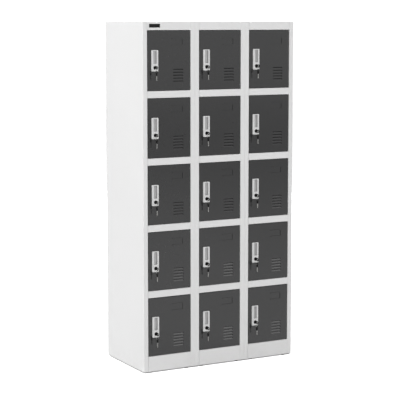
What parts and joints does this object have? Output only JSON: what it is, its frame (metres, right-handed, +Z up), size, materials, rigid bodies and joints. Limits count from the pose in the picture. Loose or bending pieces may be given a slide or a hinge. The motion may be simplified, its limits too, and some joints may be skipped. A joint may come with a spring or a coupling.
{
  "type": "parcel locker",
  "caption": "Steel parcel locker: a tall cabinet of equal compartments behind small hinged doors, each with a pull handle, a key-operated cam lock, louvres and a card holder.",
  "frame": {"origin": "on the floor, at the middle of the footprint of the whole object, keys included", "axes": "+Z up, +X to the right when facing the doors, doors facing -Y"},
  "size_m": [0.9, 0.4935, 1.82],
  "materials": {
    "cabinet_paint": "light grey powder coat, satin",
    "door_paint": "dark grey powder coat, satin",
    "handle_plastic": "light grey moulded plastic, semi-gloss",
    "lock_black": "black die casting and black key heads",
    "zinc_steel": "zinc plated",
    "foot_plastic": "black moulded plastic",
    "nameplate_black": "black plate, blank"
  },
  "bodies": {
    "cabinet": {"side_wall_c1_left": "cabinet_paint", "side_wall_c1_right": "cabinet_paint", "back_panel_c1": "cabinet_paint", "side_wall_c2_left": "cabinet_paint", "side_wall_c2_right": "cabinet_paint", "back_panel_c2": "cabinet_paint", "side_wall_c3_left": "cabinet_paint", "side_wall_c3_right": "cabinet_paint", "back_panel_c3": "cabinet_paint", "top_panels": "cabinet_paint", "base_trays": "cabinet_paint", "shelves": "cabinet_paint", "joining_bolts": "zinc_steel", "feet": "foot_plastic", "nameplate": "nameplate_black"},
    "door_r1_c1": {"door_r1_c1": "door_paint", "handle_r1_c1": "handle_plastic"},
    "lock_r1_c1": {"lock_r1_c1": "lock_black"},
    "door_r1_c2": {"door_r1_c2": "door_paint", "handle_r1_c2": "handle_plastic"},
    "lock_r1_c2": {"lock_r1_c2": "lock_black"},
    "door_r1_c3": {"door_r1_c3": "door_paint", "handle_r1_c3": "handle_plastic"},
    "lock_r1_c3": {"lock_r1_c3": "lock_black"},
    "door_r2_c1": {"door_r2_c1": "door_paint", "handle_r2_c1": "handle_plastic"},
    "lock_r2_c1": {"lock_r2_c1": "lock_black"},
    "door_r2_c2": {"door_r2_c2": "door_paint", "handle_r2_c2": "handle_plastic"},
    "lock_r2_c2": {"lock_r2_c2": "lock_black"},
    "door_r2_c3": {"door_r2_c3": "door_paint", "handle_r2_c3": "handle_plastic"},
    "lock_r2_c3": {"lock_r2_c3": "lock_black"},
    "door_r3_c1": {"door_r3_c1": "door_paint", "handle_r3_c1": "handle_plastic"},
    "lock_r3_c1": {"lock_r3_c1": "lock_black"},
    "door_r3_c2": {"door_r3_c2": "door_paint", "handle_r3_c2": "handle_plastic"},
    "lock_r3_c2": {"lock_r3_c2": "lock_black"},
    "door_r3_c3": {"door_r3_c3": "door_paint", "handle_r3_c3": "handle_plastic"},
    "lock_r3_c3": {"lock_r3_c3": "lock_black"},
    "door_r4_c1": {"door_r4_c1": "door_paint", "handle_r4_c1": "handle_plastic"},
    "lock_r4_c1": {"lock_r4_c1": "lock_black"},
    "door_r4_c2": {"door_r4_c2": "door_paint", "handle_r4_c2": "handle_plastic"},
    "lock_r4_c2": {"lock_r4_c2": "lock_black"},
    "door_r4_c3": {"door_r4_c3": "door_paint", "handle_r4_c3": "handle_plastic"},
    "lock_r4_c3": {"lock_r4_c3": "lock_black"},
    "door_r5_c1": {"door_r5_c1": "door_paint", "handle_r5_c1": "handle_plastic"},
    "lock_r5_c1": {"lock_r5_c1": "lock_black"},
    "door_r5_c2": {"door_r5_c2": "door_paint", "handle_r5_c2": "handle_plastic"},
    "lock_r5_c2": {"lock_r5_c2": "lock_black"},
    "door_r5_c3": {"door_r5_c3": "door_paint", "handle_r5_c3": "handle_plastic"},
    "lock_r5_c3": {"lock_r5_c3": "lock_black"}
  },
  "joints": [
    {"name": "door_hinge_r1_c1", "type": "hinge", "parent": "cabinet", "child": "door_r1_c1", "pos_m": [-0.1825, -0.1986, 1.6232], "axis": [0, 0, 1], "range_deg": [0, 105]},
    {"name": "lock_turn_r1_c1", "type": "hinge", "parent": "door_r1_c1", "child": "lock_r1_c1", "pos_m": [-0.384, -0.2036, 1.58769], "axis": [0, 1, 0], "range_deg": [0, 90]},
    {"name": "door_hinge_r1_c2", "type": "hinge", "parent": "cabinet", "child": "door_r1_c2", "pos_m": [0.1175, -0.1986, 1.6232], "axis": [0, 0, 1], "range_deg": [0, 105]},
    {"name": "lock_turn_r1_c2", "type": "hinge", "parent": "door_r1_c2", "child": "lock_r1_c2", "pos_m": [-0.084, -0.2036, 1.58769], "axis": [0, 1, 0], "range_deg": [0, 90]},
    {"name": "door_hinge_r1_c3", "type": "hinge", "parent": "cabinet", "child": "door_r1_c3", "pos_m": [0.4175, -0.1986, 1.6232], "axis": [0, 0, 1], "range_deg": [0, 105]},
    {"name": "lock_turn_r1_c3", "type": "hinge", "parent": "door_r1_c3", "child": "lock_r1_c3", "pos_m": [0.216, -0.2036, 1.58769], "axis": [0, 1, 0], "range_deg": [0, 90]},
    {"name": "door_hinge_r2_c1", "type": "hinge", "parent": "cabinet", "child": "door_r2_c1", "pos_m": [-0.1825, -0.1986, 1.2776], "axis": [0, 0, 1], "range_deg": [0, 105]},
    {"name": "lock_turn_r2_c1", "type": "hinge", "parent": "door_r2_c1", "child": "lock_r2_c1", "pos_m": [-0.384, -0.2036, 1.24209], "axis": [0, 1, 0], "range_deg": [0, 90]},
    {"name": "door_hinge_r2_c2", "type": "hinge", "parent": "cabinet", "child": "door_r2_c2", "pos_m": [0.1175, -0.1986, 1.2776], "axis": [0, 0, 1], "range_deg": [0, 105]},
    {"name": "lock_turn_r2_c2", "type": "hinge", "parent": "door_r2_c2", "child": "lock_r2_c2", "pos_m": [-0.084, -0.2036, 1.24209], "axis": [0, 1, 0], "range_deg": [0, 90]},
    {"name": "door_hinge_r2_c3", "type": "hinge", "parent": "cabinet", "child": "door_r2_c3", "pos_m": [0.4175, -0.1986, 1.2776], "axis": [0, 0, 1], "range_deg": [0, 105]},
    {"name": "lock_turn_r2_c3", "type": "hinge", "parent": "door_r2_c3", "child": "lock_r2_c3", "pos_m": [0.216, -0.2036, 1.24209], "axis": [0, 1, 0], "range_deg": [0, 90]},
    {"name": "door_hinge_r3_c1", "type": "hinge", "parent": "cabinet", "child": "door_r3_c1", "pos_m": [-0.1825, -0.1986, 0.932], "axis": [0, 0, 1], "range_deg": [0, 105]},
    {"name": "lock_turn_r3_c1", "type": "hinge", "parent": "door_r3_c1", "child": "lock_r3_c1", "pos_m": [-0.384, -0.2036, 0.89649], "axis": [0, 1, 0], "range_deg": [0, 90]},
    {"name": "door_hinge_r3_c2", "type": "hinge", "parent": "cabinet", "child": "door_r3_c2", "pos_m": [0.1175, -0.1986, 0.932], "axis": [0, 0, 1], "range_deg": [0, 105]},
    {"name": "lock_turn_r3_c2", "type": "hinge", "parent": "door_r3_c2", "child": "lock_r3_c2", "pos_m": [-0.084, -0.2036, 0.89649], "axis": [0, 1, 0], "range_deg": [0, 90]},
    {"name": "door_hinge_r3_c3", "type": "hinge", "parent": "cabinet", "child": "door_r3_c3", "pos_m": [0.4175, -0.1986, 0.932], "axis": [0, 0, 1], "range_deg": [0, 105]},
    {"name": "lock_turn_r3_c3", "type": "hinge", "parent": "door_r3_c3", "child": "lock_r3_c3", "pos_m": [0.216, -0.2036, 0.89649], "axis": [0, 1, 0], "range_deg": [0, 90]},
    {"name": "door_hinge_r4_c1", "type": "hinge", "parent": "cabinet", "child": "door_r4_c1", "pos_m": [-0.1825, -0.1986, 0.5864], "axis": [0, 0, 1], "range_deg": [0, 105]},
    {"name": "lock_turn_r4_c1", "type": "hinge", "parent": "door_r4_c1", "child": "lock_r4_c1", "pos_m": [-0.384, -0.2036, 0.55089], "axis": [0, 1, 0], "range_deg": [0, 90]},
    {"name": "door_hinge_r4_c2", "type": "hinge", "parent": "cabinet", "child": "door_r4_c2", "pos_m": [0.1175, -0.1986, 0.5864], "axis": [0, 0, 1], "range_deg": [0, 105]},
    {"name": "lock_turn_r4_c2", "type": "hinge", "parent": "door_r4_c2", "child": "lock_r4_c2", "pos_m": [-0.084, -0.2036, 0.55089], "axis": [0, 1, 0], "range_deg": [0, 90]},
    {"name": "door_hinge_r4_c3", "type": "hinge", "parent": "cabinet", "child": "door_r4_c3", "pos_m": [0.4175, -0.1986, 0.5864], "axis": [0, 0, 1], "range_deg": [0, 105]},
    {"name": "lock_turn_r4_c3", "type": "hinge", "parent": "door_r4_c3", "child": "lock_r4_c3", "pos_m": [0.216, -0.2036, 0.55089], "axis": [0, 1, 0], "range_deg": [0, 90]},
    {"name": "door_hinge_r5_c1", "type": "hinge", "parent": "cabinet", "child": "door_r5_c1", "pos_m": [-0.1825, -0.1986, 0.2408], "axis": [0, 0, 1], "range_deg": [0, 105]},
    {"name": "lock_turn_r5_c1", "type": "hinge", "parent": "door_r5_c1", "child": "lock_r5_c1", "pos_m": [-0.384, -0.2036, 0.20529], "axis": [0, 1, 0], "range_deg": [0, 90]},
    {"name": "door_hinge_r5_c2", "type": "hinge", "parent": "cabinet", "child": "door_r5_c2", "pos_m": [0.1175, -0.1986, 0.2408], "axis": [0, 0, 1], "range_deg": [0, 105]},
    {"name": "lock_turn_r5_c2", "type": "hinge", "parent": "door_r5_c2", "child": "lock_r5_c2", "pos_m": [-0.084, -0.2036, 0.20529], "axis": [0, 1, 0], "range_deg": [0, 90]},
    {"name": "door_hinge_r5_c3", "type": "hinge", "parent": "cabinet", "child": "door_r5_c3", "pos_m": [0.4175, -0.1986, 0.2408], "axis": [0, 0, 1], "range_deg": [0, 105]},
    {"name": "lock_turn_r5_c3", "type": "hinge", "parent": "door_r5_c3", "child": "lock_r5_c3", "pos_m": [0.216, -0.2036, 0.20529], "axis": [0, 1, 0], "range_deg": [0, 90]}
  ]
}
